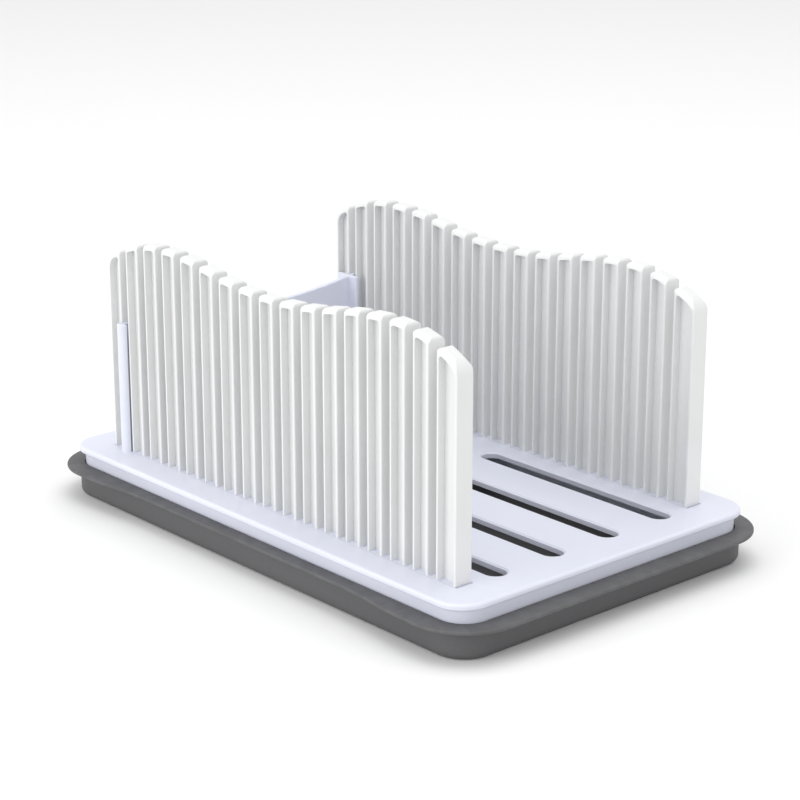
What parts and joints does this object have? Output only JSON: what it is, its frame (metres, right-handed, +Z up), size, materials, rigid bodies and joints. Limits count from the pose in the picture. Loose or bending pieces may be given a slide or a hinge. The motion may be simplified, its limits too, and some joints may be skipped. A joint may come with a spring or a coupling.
{
  "type": "bread slicer guide",
  "caption": "Bread slicer guide: two slotted comb walls and a sliding back stop on a slotted board that lifts out of a shallow crumb tray.",
  "frame": {"origin": "centre of the crumb tray's underside, on the surface it stands on", "axes": "+X along the guides to the open front, away from the back stop; +Y across the loaf, from the near guide to the far guide; +Z up"},
  "size_m": [0.305, 0.1996, 0.1337],
  "materials": {
    "tray_grey": "fine matte moulded plastic",
    "board_white": "satin moulded plastic",
    "guide_white": "satin moulded plastic"
  },
  "bodies": {
    "tray": {"crumb_tray": "tray_grey"},
    "board": {"base_board": "board_white"},
    "near_wall": {"near_guide": "guide_white"},
    "far_wall": {"far_guide": "guide_white"},
    "stop": {"back_stop": "board_white"}
  },
  "joints": [
    {"name": "board_lift", "type": "slide", "parent": "tray", "child": "board", "axis": [0, 0, 1], "range_m": [0, 0.02]},
    {"name": "guides_lift", "type": "slide", "parent": "board", "child": "near_wall", "axis": [0, 0, 1], "range_m": [0, 0.012]},
    {"name": "far_guide_lift", "type": "slide", "parent": "board", "child": "far_wall", "axis": [0, 0, 1], "range_m": [0, 0.012]},
    {"name": "stop_slide", "type": "slide", "parent": "near_wall", "child": "stop", "axis": [0, 0, 1], "range_m": [0, 0.112]}
  ],
  "couplings": [
    {"joint": "far_guide_lift", "follows": "guides_lift", "ratio": 1}
  ]
}
